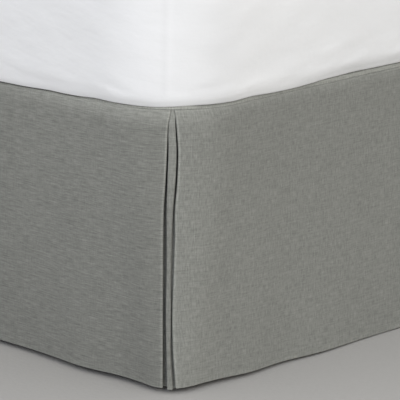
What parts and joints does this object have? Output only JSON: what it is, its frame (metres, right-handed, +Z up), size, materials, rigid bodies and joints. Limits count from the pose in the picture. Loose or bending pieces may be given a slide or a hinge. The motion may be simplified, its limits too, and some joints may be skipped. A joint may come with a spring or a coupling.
{
  "type": "bed skirt on a bed",
  "caption": "Tailored grey linen bed skirt with split foot corners, hanging from the box spring of a plain queen-size bed with a white-covered mattress and a steel frame.",
  "frame": {"origin": "on the floor under the middle of the bed", "axes": "+Z up, +Y towards the head of the bed, +X to the right seen from the foot"},
  "size_m": [1.556, 2.0692, 0.6436],
  "materials": {
    "linen": "matt slubby plain weave",
    "white_cotton": "smooth matt cotton",
    "box_cover": "matt woven cover",
    "steel": "satin dark paint"
  },
  "bodies": {
    "root": {"deck": "linen", "drop_left": "linen", "drop_foot": "linen", "drop_right": "linen", "underlay_left": "linen", "underlay_right": "linen", "mattress": "white_cotton", "box_spring": "box_cover", "rail_left": "steel", "rail_right": "steel", "cross_rail_foot": "steel", "cross_rail_middle": "steel", "cross_rail_head": "steel", "leg_foot_left": "steel", "leg_foot_centre": "steel", "leg_foot_right": "steel", "leg_middle_left": "steel", "leg_middle_centre": "steel", "leg_middle_right": "steel", "leg_head_left": "steel", "leg_head_centre": "steel", "leg_head_right": "steel"}
  },
  "joints": []
}
